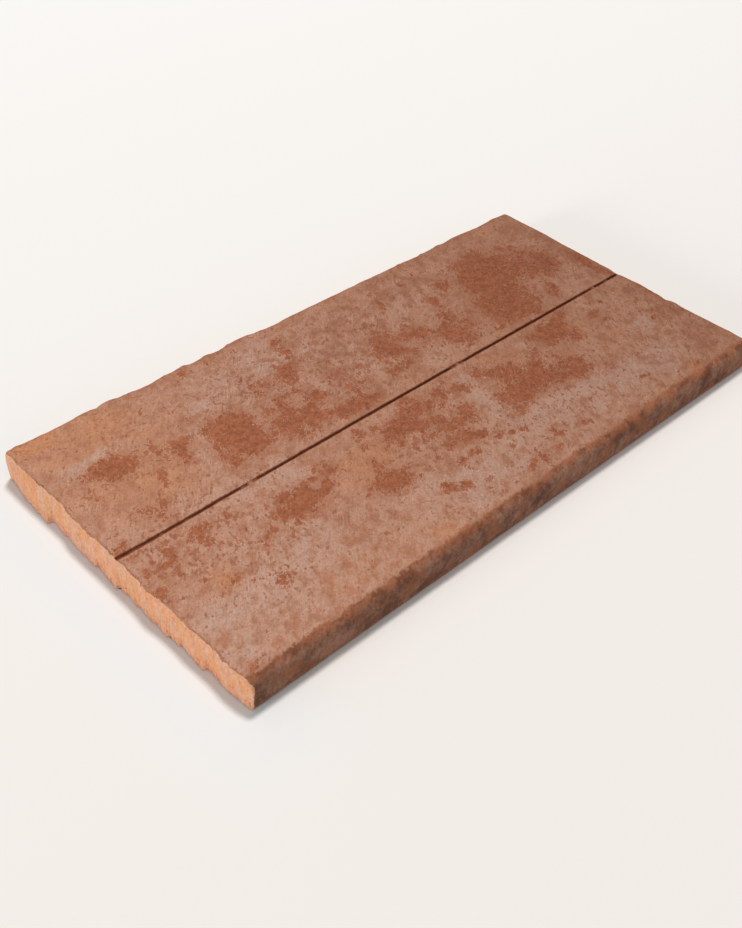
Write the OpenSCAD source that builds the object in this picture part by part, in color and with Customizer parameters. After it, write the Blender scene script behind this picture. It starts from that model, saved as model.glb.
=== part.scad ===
// Terracotta floor tile with a rounded nosing, cut and fired as one piece of clay.
//
// The tile lies on its bedding face. X runs along its length, +Y from the nosing at the front to
// the back edge, and +Z is up. The origin is the middle of the bedding face. All sizes are in mm.

/* [Tile] */
// Overall length, measured at the foot of the two ends
tile_length = 500; // [300:5:600]
// Overall width, from the nosing to the fullest swell of the back edge
tile_width = 250; // [180:5:320]
// Thickness, from the bedding face to the walking face
tile_thickness = 22; // [16:1:40]

/* [Nosing] */
// Radius that rolls the walking face over into the front face
nosing_radius = 8; // [4:0.5:13]
// Radius of the arris between the front face and the bedding face
front_foot_radius = 1.5; // [0.5:0.5:3]

/* [Score groove] */
// Width of the groove at the walking face
groove_width = 2.6; // [2.4:0.1:8]
// Width of the groove's flat floor
groove_floor = 2; // [1:0.1:2.4]
// Depth of the groove
groove_depth = 2.4; // [1:0.1:5]
// Distance from the front face to the middle of the groove
groove_setback = 125; // [40:1:150]

/* [Raw ends] */
// How far the foot of an end stands out past its top edge
end_flare = 5; // [2:0.5:8]
// Radius of the arris at the top of an end
end_arris_radius = 1.2; // [0.4:0.1:2]
// How far the foot of an end sweeps back at the tile's corners
corner_sweep = 4; // [1:0.5:6]
// How far a torn tooth at the foot of an end runs in, for each 100 mm of its length
tooth_run = 4.5; // [0:0.5:6]

/* [Back edge] */
// Depth of the waves in the back edge
back_wave = 3; // [0.5:0.5:5]
// Radius that rounds the swells of the back edge into the walking face
back_arris_radius = 1; // [0.4:0.1:2]
// Radius that rounds the foot of the back edge
back_foot_radius = 4; // [1:0.5:7]

/* [Hidden] */

clay = "#b87a5c";

// The swells along the back edge: [distance from the left end, half its length, share of back_wave].
BACK_SWELLS = [[70, 22, 0.7], [85, 20, 1], [145, 14, 0.5], [200, 26, 0.95], [432, 20, 0.5]];
// The tears between them, in the same form.
BACK_TEARS = [[112, 14, 0.2], [228, 22, 0.25], [384, 12, 0.3]];
// The share of back_wave that the edge has where nothing swells or tears it.
back_level = 0.3;

// Where each torn tooth along the foot of an end breaks off, measured from the front face.
TOOTH_BREAKS = [-12, 36, 69, 120, 191];

// How sharply the foot of an end turns at its corners.
corner_power = 6;

// Distance between the points of a torn outline.
outline_step = 5;

// How far the circle that rounds an end's top arris stands proud of the two faces it joins, so that
// it crosses them at a clear angle rather than just touching them.
arris_proud = 0.02;

// How far a cutting shape reaches past the clay.
reach = 10;

$fn = 96;

// The height, from 0 to 1, of one smooth swell [at, half length, height] at a distance along an edge.
function swell(s, along) =
    abs(along - s[0]) < s[1] ? s[2] * (1 + cos(180 * (along - s[0]) / s[1])) / 2 : 0;

// The tallest of a list of swells at a distance along an edge.
function tallest(swells, along) = max([for (s = swells) swell(s, along)]);

// How full the back edge is, from 0 to 1: 1 only at the top of the fullest swell.
function back_fullness(along) =
    let (up = tallest(BACK_SWELLS, along), down = tallest(BACK_TEARS, along))
    up + (1 - up) * (back_level - down);

// Y of the back edge, measured from the front face.
function back_edge(along) = tile_width - back_wave * (1 - back_fullness(along));

// How far a torn tooth has run in since the last one broke off.
function tooth(across) =
    let (last_break = max([for (b = TOOTH_BREAKS) if (b <= across) b]))
    (across - last_break) * tooth_run / 100;

// How far inside the overall length the foot of an end lies, at a distance from the front face.
function foot_inset(across) =
    let (at_corner = pow(min(abs(2 * across / tile_width - 1), 1), corner_power))
    corner_sweep * at_corner + tooth(across) * (1 - at_corner);

// Distances along the back edge at which its outline has points, both of its corners included.
function back_stations() =
    let (
        left_corner = foot_inset(tile_width),
        length = tile_length - foot_inset(0) - left_corner,
        count = round(length / outline_step)
    )
    [for (i = [0 : count]) left_corner + length * i / count];

// Distances from the front face at which the outline of an end has points between its corners:
// one where each tooth breaks off, and more along its run.
function end_stations() =
    let (last = len(TOOTH_BREAKS) - 1)
    [
        for (i = [0 : last])
            let (next_break = i < last ? TOOTH_BREAKS[i + 1] : tile_width)
            for (y = [TOOTH_BREAKS[i] : outline_step : next_break - outline_step / 2])
                if (y > back_wave && y < tile_width - back_wave) y
    ];

// The outline in plan: two raw ends and a torn back edge. The front lies beyond the clay,
// because the section sets the front face.
module plan_outline() {
    left_front = foot_inset(0);
    right_front = tile_length - foot_inset(tile_width);
    polygon(concat(
        [[left_front, -reach], [left_front, 0]],
        [for (y = end_stations()) [foot_inset(y), y]],
        [for (x = back_stations()) [x, back_edge(x)]],
        [for (y = end_stations()) [tile_length - foot_inset(y), tile_width - y]],
        [[right_front, 0], [right_front, -reach]]
    ));
}

// What rounding a square corner at the origin takes away from a body in the first quadrant.
module round_off(radius) {
    difference() {
        translate([-reach, -reach]) square(reach + radius);
        translate([radius, radius]) circle(r = radius);
    }
}

// The section across the tile, with the front face at 0 and the bedding face on the floor.
module section() {
    difference() {
        square([tile_width, tile_thickness]);
        translate([0, tile_thickness]) mirror([0, 1]) round_off(nosing_radius);
        round_off(front_foot_radius);
        translate([tile_width, tile_thickness]) rotate(180) round_off(back_arris_radius);
        translate([tile_width, 0]) mirror([1, 0]) round_off(back_foot_radius);
        translate([groove_setback, tile_thickness]) groove_section();
    }
}

// The score groove, with its mouth at the origin. It narrows a little towards its floor.
module groove_section() {
    slope = (groove_width - groove_floor) / 2 / groove_depth;
    mouth = groove_width / 2 + slope * reach;
    polygon([
        [-mouth, reach], [-groove_floor / 2, -groove_depth],
        [groove_floor / 2, -groove_depth], [mouth, reach]
    ]);
}

// The tile seen from the front: the two ends lean in from foot to top, with a rounded top arris.
module end_profile() {
    difference() {
        lean = end_flare / tile_thickness;
        polygon([
            [-reach * lean, -reach], [tile_length + reach * lean, -reach],
            [tile_length - end_flare - reach * lean, tile_thickness + reach],
            [end_flare + reach * lean, tile_thickness + reach]
        ]);
        end_arris();
        translate([tile_length, 0]) mirror([1, 0]) end_arris();
    }
}

// What rounding the top arris of the left end takes away: all that lies outside the circle, between
// the directions square to the leaning face and to the walking face.
module end_arris() {
    lean = end_flare / tile_thickness;
    tilt = atan(lean);
    inset = end_arris_radius - arris_proud;
    square_to_end = 3 * reach * [-cos(tilt), sin(tilt)];
    square_to_top = [0, 3 * reach];
    translate([lean * (tile_thickness - inset) + inset / cos(tilt), tile_thickness - inset])
        difference() {
            polygon([[0, 0], square_to_end, square_to_end + square_to_top, square_to_top]);
            circle(r = end_arris_radius);
        }
}

// The section run along the length, cut to the outline and to the leaning ends.
module floor_tile() {
    color(clay)
    translate([-tile_length / 2, -tile_width / 2, 0])
    intersection() {
        translate([-reach, 0, 0]) rotate([90, 0, 90])
            linear_extrude(tile_length + 2 * reach) section();
        translate([0, 0, -reach])
            linear_extrude(tile_thickness + 2 * reach) plan_outline();
        translate([0, tile_width + reach, 0]) rotate([90, 0, 0])
            linear_extrude(tile_width + 2 * reach) end_profile();
    }
}

floor_tile();
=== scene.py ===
import math

import bpy
import numpy as np
from mathutils import Matrix, Vector


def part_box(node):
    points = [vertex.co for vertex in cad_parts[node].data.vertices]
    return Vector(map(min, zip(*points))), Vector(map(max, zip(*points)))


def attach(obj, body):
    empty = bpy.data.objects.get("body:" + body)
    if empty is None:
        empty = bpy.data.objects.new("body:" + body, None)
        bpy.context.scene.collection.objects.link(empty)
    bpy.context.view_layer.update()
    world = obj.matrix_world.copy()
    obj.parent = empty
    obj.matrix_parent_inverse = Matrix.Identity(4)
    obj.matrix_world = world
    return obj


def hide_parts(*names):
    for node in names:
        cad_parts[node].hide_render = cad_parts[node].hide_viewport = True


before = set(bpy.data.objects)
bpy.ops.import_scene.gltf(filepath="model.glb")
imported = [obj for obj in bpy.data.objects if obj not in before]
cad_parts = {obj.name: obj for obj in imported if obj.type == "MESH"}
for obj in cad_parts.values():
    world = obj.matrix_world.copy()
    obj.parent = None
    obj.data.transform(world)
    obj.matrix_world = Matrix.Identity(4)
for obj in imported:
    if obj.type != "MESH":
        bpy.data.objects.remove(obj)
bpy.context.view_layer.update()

MM = 0.001

# ---- Camera ----
CAMERA_AT = Vector((-0.4990, -0.4295, 0.5287))
CAMERA_RIGHT = Vector((0.71488, -0.69654, 0.06145))
CAMERA_UP = Vector((0.42774, 0.50514, 0.74959))
CAMERA_BACK = Vector((-0.55316, -0.50958, 0.65905))
CAMERA_LENS = 46.094

camera_data = bpy.data.cameras.new("camera")
camera_data.sensor_fit = "AUTO"
camera_data.sensor_width = 36.0
camera_data.lens = CAMERA_LENS
camera_data.clip_start, camera_data.clip_end = 0.02, 50.0
camera = bpy.data.objects.new("camera", camera_data)
bpy.context.scene.collection.objects.link(camera)
turn = Matrix((CAMERA_RIGHT, CAMERA_UP, CAMERA_BACK)).transposed().to_4x4()
camera.matrix_world = Matrix.Translation(CAMERA_AT) @ turn
bpy.context.scene.camera = camera

# ---- The tile's sizes, in mm: its box comes from the CAD, and the rest repeats the CAD source ----
box_low, box_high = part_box("floor_tile")
LENGTH, WIDTH, THICK = [(box_high[a] - box_low[a]) / MM for a in range(3)]
# The fullest swell of the back edge falls a hair short of the full width.
WIDTH = round(WIDTH, 1)
HALF_L, HALF_W = LENGTH / 2, WIDTH / 2

NOSING_RADIUS = 8.0
FRONT_FOOT_RADIUS = 1.5
BACK_FOOT_RADIUS = 4.0
END_FLARE = 5.0
GROOVE_ACROSS = 125.0
GROOVE_DEPTH = 2.4
BACK_WAVE = 3.0
BACK_LEVEL = 0.3
# Swells and tears along the back edge: distance from the left end, half length, share of the wave.
BACK_SWELLS = [(70, 22, 0.7), (85, 20, 1.0), (145, 14, 0.5), (200, 26, 0.95), (432, 20, 0.5)]
BACK_TEARS = [(112, 14, 0.2), (228, 22, 0.25), (384, 12, 0.3)]

# ---- Finer detail, which only the looks have, in mm ----
# The two ends: which side of the middle each is on, and the seed of its roughness.
ENDS = [(-1, 81), (1, 91)]
END_FOOT_RADIUS = 0.5
BACK_CORNER_RADIUS = 3.2
# Small nibs and nicks of the back edge: distance from the left end, half length, how far out in mm.
BACK_NIBS = [
    (14, 4, 0.9), (37, 6, -0.5), (60, 5, 0.4), (75, 4, -0.8), (93, 4, -0.9), (103, 4, 0.5),
    (118, 7, -0.7), (131, 6, 0.7), (140, 3, -0.4), (148, 4, 0.8), (155, 3, -0.3), (168, 7, 1.5),
    (179, 3, -0.3), (188, 4, 0.7), (212, 6, -0.9), (233, 9, -0.3), (297, 8, -0.3), (323, 8, 0.3),
    (342, 6, -0.4), (363, 3.5, 0.8), (374, 6, -0.4), (388, 4, 0.9), (409, 6, 1.0), (427, 4, 0.4),
    (457, 5, -0.4), (478, 9, 0.9),
]

# The torn foot of the left end: where its big and its small teeth break off, from the front face, and
# how far in each millimetre of a tooth runs. The right end is the same, from the back.
BIG_BREAKS = [-2, 39, 72, 121, 194]
SMALL_BREAKS = [15, 62, 86, 101, 114, 144, 155, 164, 178, 206, 218]
BIG_RUN, SMALL_RUN = 0.042, 0.075
# How far the foot sweeps in at the two corners of an end, and how sharply it turns there.
NEAR_SWEEP, FAR_SWEEP, CORNER_POWER = 3.8, 6.2, 7
# How far the top edge of the left end bows out over the front part of its length, and where that ends.
LEFT_BOW, LEFT_BOW_ENDS = 2.2, 176.0
# Where the top edges of the ends swell or dip, in the same form as the nibs, but from the front face.
LEFT_SWELLS = [(21, 14, 1.0), (56, 12, 0.7), (92, 16, 1.5), (222, 30, 0.6)]
RIGHT_SWELLS = [
    (20, 36, 1.3), (70, 10, 0.9), (78, 6, -1.8), (104, 12, 1.0), (126, 9, -1.3), (208, 26, 0.8),
]

# The shape of the groove's side: distances from its middle, and the share of its depth there.
GROOVE_SIDE = [(0, 1), (1.05, 0.98), (1.2, 0.6), (1.35, 0.10), (1.55, 0.02), (1.95, 0)]
# Where crumbs fill the groove: distance from the left end, half length, share of its depth.
GROOVE_FILLINGS = [
    (39, 1.3, 0.35), (57, 1.3, 0.25), (102, 2.5, 0.45), (108, 2.2, 0.97), (112, 1.8, 0.5),
    (297, 2.0, 0.5), (302, 2.4, 0.75), (307, 2.0, 0.5), (444, 1.5, 0.35), (457, 1.5, 0.3),
    (463, 2.4, 0.75), (480, 1.6, 0.6),
]
# Small pits in the walking face: how many, their sizes and their depths.
PIT_COUNT, PIT_SEED = 90, 20
PIT_SIZES, PIT_DEPTHS = (1.2, 3.2), (0.08, 0.35)

# ---- Seeded noise ----


def hashed(ix, iy, seed):
    """A number from 0 to 1 for each grid point, by mixing the bits of large products."""
    h = ix.astype(np.int64) * 374761393 + iy.astype(np.int64) * 668265263 + seed * 974634777
    h = h & 0xFFFFFFFF
    h = ((h ^ (h >> 13)) * 1274126177) & 0xFFFFFFFF
    return ((h ^ (h >> 16)) & 0xFFFFFF) / float(0xFFFFFF)


def gradient_noise(x, y, seed):
    """Smooth noise from about -1 to 1, with one hill or hollow for each unit of x and y."""
    ix, iy = np.floor(x), np.floor(y)
    fx, fy = x - ix, y - iy
    u = fx * fx * fx * (fx * (fx * 6 - 15) + 10)
    v = fy * fy * fy * (fy * (fy * 6 - 15) + 10)

    def corner(dx, dy):
        angle = hashed(ix + dx, iy + dy, seed) * 2 * math.pi
        return np.cos(angle) * (fx - dx) + np.sin(angle) * (fy - dy)

    low = corner(0, 0) * (1 - u) + corner(1, 0) * u
    high = corner(0, 1) * (1 - u) + corner(1, 1) * u
    return (low * (1 - v) + high * v) * 1.5


def fractal(x, y, wavelength, seed, octaves=3, gain=0.5):
    """Layers of noise, each half the wavelength of the last."""
    total, share, whole = 0.0, 1.0, 0.0
    for octave in range(octaves):
        scale = 2 ** octave / wavelength
        total = total + share * gradient_noise(x * scale, y * scale, seed + 31 * octave)
        whole += share
        share *= gain
    return total / whole


def smoothstep(low, high, value):
    """0 up to low, 1 from high on, and a smooth rise between them."""
    t = np.clip((value - low) / (high - low), 0.0, 1.0)
    return t * t * (3 - 2 * t)


# ---- Outlines and worn faces ----


def tallest(swells, along):
    """The tallest of a list of swells at each place along an edge."""
    best = np.zeros_like(along)
    for at, half, share in swells:
        swell = share * (1 + np.cos(math.pi * (along - at) / half)) / 2
        best = np.maximum(best, np.where(np.abs(along - at) < half, swell, 0.0))
    return best


def back_edge(along):
    """How far the back edge lies from the front face, as in the CAD source."""
    up, down = tallest(BACK_SWELLS, along), tallest(BACK_TEARS, along)
    return WIDTH - BACK_WAVE * (1 - (up + (1 - up) * (BACK_LEVEL - down)))


def since_break(breaks, across):
    """How far each place lies past the last break before it."""
    breaks = np.array(sorted(breaks))
    last = np.maximum(np.searchsorted(breaks, across, side="right") - 1, 0)
    return np.maximum(across - breaks[last], 0.0)


def foot_inset(across, seed):
    """How far in the foot of an end lies, with its finer raggedness."""
    at_corner = np.minimum(np.abs(2 * across / WIDTH - 1), 1.0) ** CORNER_POWER
    sweep = np.where(across < WIDTH / 2, NEAR_SWEEP, FAR_SWEEP)
    big = BIG_RUN * since_break(BIG_BREAKS, across)
    torn = big + SMALL_RUN * since_break(BIG_BREAKS + SMALL_BREAKS, across)
    ragged = fractal(across, np.zeros_like(across), 4.5, seed, 3, 0.7)
    return np.maximum(sweep * at_corner + torn * (1 - at_corner) + 0.6 * ragged + 0.1, 0.0)


def nibs(places, along):
    """How far an edge stands out at its nibs and swells, and in at its nicks and dips."""
    out = np.zeros_like(along)
    for at, half, height in places:
        out += height * np.exp(-(((along - at) / (0.6 * half)) ** 2))
    return out


def end_edge(side, across):
    """How far the top edge of an end stands out past the leaning face."""
    if side > 0:
        return nibs(RIGHT_SWELLS, across)
    rise = smoothstep(0.0, 12.0, across)
    fall = 1 - smoothstep(LEFT_BOW_ENDS - 6, LEFT_BOW_ENDS + 6, across)
    return LEFT_BOW * rise * fall + nibs(LEFT_SWELLS, across)


def groove_centre(along):
    """The scoring blade wandered a little: the groove bows towards the back."""
    bowed = GROOVE_ACROSS - 1.0 + 1.6 * smoothstep(0.0, 0.5, along / LENGTH)
    return bowed + 0.12 * gradient_noise(along / 23, along * 0, 61)


def worn_top(x, y):
    """How far the walking face lies below its highest points."""
    rolling = 0.30 * fractal(x, y, 95.0, 11, 2)
    lumps = 0.11 * fractal(x, y, 19.0, 12, 3)
    grain = 0.05 * fractal(x, y, 4.5, 13, 2)
    worn = 0.45 + rolling + lumps + grain
    rng = np.random.default_rng(PIT_SEED)
    for _ in range(PIT_COUNT):
        cx, cy = rng.uniform(-240, 240), rng.uniform(-118, 120)
        size, depth = rng.uniform(*PIT_SIZES), rng.uniform(*PIT_DEPTHS)
        worn = worn + depth * np.exp(-(((x - cx) / size) ** 2 + ((y - cy) / (size * 0.8)) ** 2))
    return np.maximum(worn, 0.0)


def worn_end(y, z, seed):
    """A wire-cut end: lumpy, with short leaning drag marks that deepen towards the foot."""
    drags = fractal(y + 0.45 * z, z / 3.5, 5.5, seed, 3, 0.6)
    lumps = fractal(y, z, 24.0, seed + 5, 3)
    return 0.35 + 0.25 * lumps + (0.10 + 0.28 * (1 - z / THICK)) * drags


def worn_front(x, z):
    """How far the front face lies in from the box, most a little left of the middle."""
    bow = 0.5 * (1 - (x / HALF_L + 0.3) ** 2)
    lumps = 0.25 * fractal(x, z, 38.0, 41, 3)
    grain = 0.18 * fractal(x, z * 0.5, 5.0, 42, 3)
    return np.maximum(0.20 + bow + lumps + grain, 0.0)


def worn_back(x, z):
    """How far the torn back lies inside its outline, lumpier towards its foot."""
    ragged = 0.30 * fractal(x, z / 1.5, 6.0, 51, 3, 0.65)
    lumps = 0.25 * fractal(x, z, 30.0, 52, 2)
    return 0.18 + ragged + lumps * np.clip((THICK - z) / 8, 0, 1)


def worn_under(x, y):
    """How far the bedding face lies above its lowest points."""
    return np.maximum(0.12 + 0.22 * fractal(x, y, 60.0, 71, 3), 0.0)


def round_corner(a, b, radius):
    """Depths inside two faces, once their arris is rounded and the clay behind it is squeezed in."""
    near = (a < radius) & (b < radius)
    u, v = np.where(near, radius - a, 0.0), np.where(near, radius - b, 0.0)
    squeeze = np.where(near, np.maximum(u, v) / np.maximum(np.hypot(u, v), 1e-9), 1.0)
    return np.where(near, radius - u * squeeze, a), np.where(near, radius - v * squeeze, b)


# ---- The mesh: a fine lattice on the box of the tile, each point then moved onto the worn shape ----
# How far apart its lines are, and how far the finer ones lie from an end, the front, the back and the
# groove. The underside keeps one line in every few.
STEP_ALONG = 1.65
STEP_ACROSS = 1.2
COARSE_EVERY = 4
END_LINES = [0, 0.3, 0.6, 0.9, 1.3, 1.8, 2.5, 3.4, 4.5, 5.8]
FRONT_LINES = [0, 0.35, 0.8, 1.4, 2.1, 3.0, 4.0, 5.0, 6.0, 7.0, 8.0, 9.1]
BACK_LINES = [0, 0.3, 0.6, 0.9, 1.3, 1.8, 2.5, 3.4, 4.4]
GROOVE_LINES = [0.5, 1.05, 1.2, 1.35, 1.55, 1.95, 2.6, 3.6]
HEIGHTS = [0, 0.3, 0.7, 1.5, 2.7, 4.1, 5.7, 7.4, 9.2, 11.0, 12.8, 14.5, 16.0, 17.4, 18.6, 19.6, 20.3, 20.8,
           21.2, 21.6, 22.0]


def between(low, high, step, multiple=1, used=0):
    """Evenly spaced values strictly between two others, so many that all the lines come to a multiple."""
    count = max(round((high - low) / step), 2)
    while (count + used) % multiple:
        count += 1
    return list(np.linspace(low, high, count + 1)[1:-1])


def lattice_lines():
    """Where the lattice's lines lie along the tile, across it and up it."""
    top_half = HALF_L - END_FLARE
    left = [-top_half + e for e in END_LINES]
    run = between(left[-1], -left[-1], STEP_ALONG, COARSE_EVERY, 2 * len(END_LINES) - 2)
    along = left + run + [-v for v in reversed(left)]
    middle = GROOVE_ACROSS - HALF_W
    groove = [middle - d for d in reversed(GROOVE_LINES)] + [middle] + [middle + d for d in GROOVE_LINES]
    front = [-HALF_W + e for e in FRONT_LINES]
    back = [HALF_W - e for e in reversed(BACK_LINES)]
    lower = between(front[-1], groove[0], STEP_ACROSS)
    used = len(front) + len(lower) + len(groove) + len(back) - 2
    upper = between(groove[-1], back[0], STEP_ACROSS, COARSE_EVERY, used)
    across = front + lower + groove + upper + back
    return np.array(along), np.array(across), np.array(HEIGHTS) * THICK / HEIGHTS[-1]


def skin_points(nx, ny, nz):
    """A number for each lattice point on the skin, with -1 for the rest, and where those points are.

    Away from its rim the underside keeps only every few lines."""
    i, j, k = np.meshgrid(np.arange(nx + 1), np.arange(ny + 1), np.arange(nz + 1), indexing="ij")
    rim = (i == 0) | (i == nx) | (j == 0) | (j == ny)
    coarse = (i % COARSE_EVERY == 0) & (j % COARSE_EVERY == 0)
    kept = rim | (k == nz) | ((k == 0) & coarse)
    number = np.full(i.shape, -1)
    number[kept] = np.arange(kept.sum())
    return number, i[kept], j[kept], k[kept]


def follow_groove(line, distance, along):
    """Lines across the tile follow the groove and its ragged lips near the middle."""
    away = np.abs(distance)
    y = line + (1 - smoothstep(4.0, 30.0, away)) * (groove_centre(along) - GROOVE_ACROSS)
    lip = (1 - smoothstep(2.0, 7.0, away)) * smoothstep(0.2, 0.9, away)
    wobble = fractal(along, np.where(distance < 0, 0.0, 57.0), 5.0, 62, 3, 0.75)
    wide = 1.07 + 0.11 * gradient_noise(along / 40, along * 0, 63) + 0.20 * np.exp(-along / 35)
    return y + lip * (0.42 * wobble + distance * (wide - 1))


def wear_long_faces(x, y, z, line):
    """The four long faces, each worn inwards from the box, with their arrises rounded.

    Gives the new y and z, how far they lie from the top, and the top, bed, front and back faces."""
    along = x + HALF_L
    top, bed = THICK - worn_top(x, y), worn_under(x, y)
    front = worn_front(x, z) - HALF_W
    outline = np.minimum(back_edge(along) + nibs(BACK_NIBS, along), WIDTH)
    back = outline - HALF_W - np.maximum(worn_back(x, z), 0.0)
    y = y + (front + HALF_W) * (1 - smoothstep(0.0, 14.0, line + HALF_W))
    y = y + (back - HALF_W) * smoothstep(HALF_W - 40, HALF_W, line)
    z = bed + (top - bed) * z / THICK
    back_radius = 1.1 + 0.7 * fractal(x, x * 0, 17.0, 53, 2)
    from_top, from_front = round_corner(top - z, y - front, NOSING_RADIUS)
    from_top, from_back = round_corner(from_top, back - y, back_radius)
    z = top - from_top
    from_bed, from_front = round_corner(z - bed, from_front, FRONT_FOOT_RADIUS)
    from_bed, from_back = round_corner(from_bed, from_back, BACK_FOOT_RADIUS)
    z = bed + from_bed
    y = np.where(line < 0, front + from_front, back - from_back)
    return y, z, from_top, top, bed, front, back


def leaning_end(side, seed, y, z):
    """How far out from the middle the face of an end lies, and the radius of its top arris."""
    low = np.clip(1 - z / THICK, 0, 1)
    across = y + HALF_W if side < 0 else HALF_W - y
    out = HALF_L - END_FLARE * (1 - low) - foot_inset(across, seed + 3) * low ** 1.4 - worn_end(y, z, seed)
    out = out + end_edge(side, y + HALF_W) * z / THICK
    return out, 1.4 + 0.7 * fractal(y, y * 0, 9.0, seed + 4, 3, 0.6)


def wear_ends(x, y, z, on_skin, from_top, top, bed, front, back):
    """The two ends lean out to their torn feet. Gives the new place, and the depth inside the end's face.

    Rounding an arris moves a point in from the skin towards the tile's core, and in from the end."""
    (left, left_arris), (right, right_arris) = [leaning_end(side, seed, y, z) for side, seed in ENDS]
    reach = np.where(x < 0, left, right)
    arris = np.where(x < 0, left_arris, right_arris)
    into_end = reach - np.abs(x) / (HALF_L - END_FLARE) * reach

    shell = np.minimum(np.minimum(from_top, z - bed), np.minimum(y - front, back - y))
    under_skin = np.where(on_skin, 0.0, np.maximum(shell, 0.05))
    core_y = np.clip(y, front + NOSING_RADIUS, back - NOSING_RADIUS)
    core_z = np.clip(z, bed + 6.0, top - NOSING_RADIUS)
    inward = np.stack([core_y - y, core_z - z]) / np.maximum(np.hypot(core_y - y, core_z - z), 1e-9)
    radius = END_FOOT_RADIUS + (arris - END_FOOT_RADIUS) * smoothstep(0.0, 6.0, z)
    new_skin, into_end = round_corner(under_skin, into_end, radius)
    y = y + inward[0] * (new_skin - under_skin)
    z = z + inward[1] * (new_skin - under_skin)
    # The back corners are rounded in plan too.
    from_back, into_end = round_corner(back - y, into_end, BACK_CORNER_RADIUS)
    return np.sign(x) * (reach - into_end), back - from_back, z, into_end


def groove_cut(along, distance, end_depth, on_top):
    """How far down the groove is cut, and how much of it is open.

    Crumbs fill it in places, and clay dragged over by the wire closes it at the ends."""
    drop = np.interp(np.abs(distance), *zip(*GROOVE_SIDE))
    filled = np.zeros_like(along)
    for at, half, share in GROOVE_FILLINGS:
        filled = np.maximum(filled, share * np.exp(-((along - at) / half) ** 2))
    closed = 1 - smoothstep(0.5, 1.4, end_depth)
    depth = GROOVE_DEPTH * (0.95 + 0.10 * gradient_noise(along / 9, along * 0, 64))
    depth = depth * (1 - filled) * (1 - closed)
    return depth * drop * on_top, drop * (1 - filled) * (1 - closed) * on_top


def skin_faces(number):
    """Quads over the front, the top, the back and the two ends, and loops over the coarser underside."""
    sheets = []
    for skin, outward in (
        (number[:, 0, :], True), (number[:, :, -1], True), (number[:, -1, :], False),
        (number[0, :, :], False), (number[-1, :, :], True),
    ):
        a, b, c, d = skin[:-1, :-1], skin[1:, :-1], skin[1:, 1:], skin[:-1, 1:]
        turn = (a, b, c, d) if outward else (a, d, c, b)
        sheets.append(np.stack([corner.ravel() for corner in turn], 1))

    foot, step = number[:, :, 0], COARSE_EVERY
    nx, ny = foot.shape[0] - 1, foot.shape[1] - 1
    # A face of the underside keeps every point of a side that lies on the rim.
    loops = []
    for a in range(0, nx, step):
        for b in range(0, ny, step):
            c, d = a + step, b + step
            left = foot[a, b:d:1 if a == 0 else step]
            back = foot[a:c:1 if d == ny else step, d]
            right = foot[c, d:b:-1 if c == nx else -step]
            front = foot[c:a:-1 if b == 0 else -step, b]
            loops.append(np.concatenate([left, back, right, front]).tolist())
    return sheets, loops


def add_bake_map(mesh, sheets, along, across, height):
    """The map that the looks are baked on: the front, the top and the back as one strip, the two ends
    side by side above it, and the underside above them, drawn smaller."""
    unit, gap, smaller = 1 / 520, 5.0, 0.6
    corners = np.empty(len(mesh.loops), int)
    mesh.loops.foreach_get("vertex_index", corners)
    sizes = np.array([len(face.vertices) for face in mesh.polygons])
    owner = np.repeat(np.arange(len(sizes)), sizes)
    lx, ly, lz = along[corners], across[corners], height[corners]
    _, top_end, strip_end, left_end, quads_end = np.cumsum([len(sheet) for sheet in sheets])
    on_back = (owner >= top_end) & (owner < strip_end)
    strip = np.stack([lx, np.where(on_back, THICK + WIDTH + THICK - lz, ly + lz)])
    end = np.stack([ly, lz + WIDTH + 2 * THICK + gap])
    end[0] += np.where(owner >= left_end, WIDTH + gap, 0.0)
    below = np.stack([smaller * lx, smaller * ly + WIDTH + 3 * THICK + 2 * gap])
    uv = np.where(owner < strip_end, strip, np.where(owner < quads_end, end, below)) * unit + 2 * unit
    mesh.uv_layers.new(name="OFBake").data.foreach_set("uv", uv.T.ravel())


def build_tile():
    """The tile's object, its points in mm, how open the groove is and how deep each lies in its end."""
    xs, ys, zs = lattice_lines()
    number, i, j, k = skin_points(len(xs) - 1, len(ys) - 1, len(zs) - 1)
    on_top = k == len(zs) - 1
    on_skin = (j == 0) | (j == len(ys) - 1) | (k == 0) | on_top
    x, line, along = xs[i], ys[j], xs[i] + HALF_L
    distance = line - (GROOVE_ACROSS - HALF_W)
    y = follow_groove(line, distance, along)
    y, z, *faces = wear_long_faces(x, y, zs[k], line)
    x, y, z, end_depth = wear_ends(x, y, z, on_skin, *faces)
    groove_depth, in_groove = groove_cut(along, distance, end_depth, on_top)
    points = np.stack([
        np.clip(x, -HALF_L, HALF_L), np.clip(y, -HALF_W, HALF_W), np.clip(z - groove_depth, 0.0, THICK)
    ])

    sheets, loops = skin_faces(number)
    mesh = bpy.data.meshes.new("floor_tile_looks")
    mesh.from_pydata((points.T * MM).tolist(), [], np.concatenate(sheets).tolist() + loops)
    mesh.polygons.foreach_set("use_smooth", np.ones(len(mesh.polygons), bool))
    mesh.update()
    add_bake_map(mesh, sheets, along, line + HALF_W, zs[k])
    tile = bpy.data.objects.new("terracotta_tile", mesh)
    bpy.context.scene.collection.objects.link(tile)
    return tile, points, in_groove, end_depth


tile, points, in_groove, end_depth = build_tile()

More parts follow.
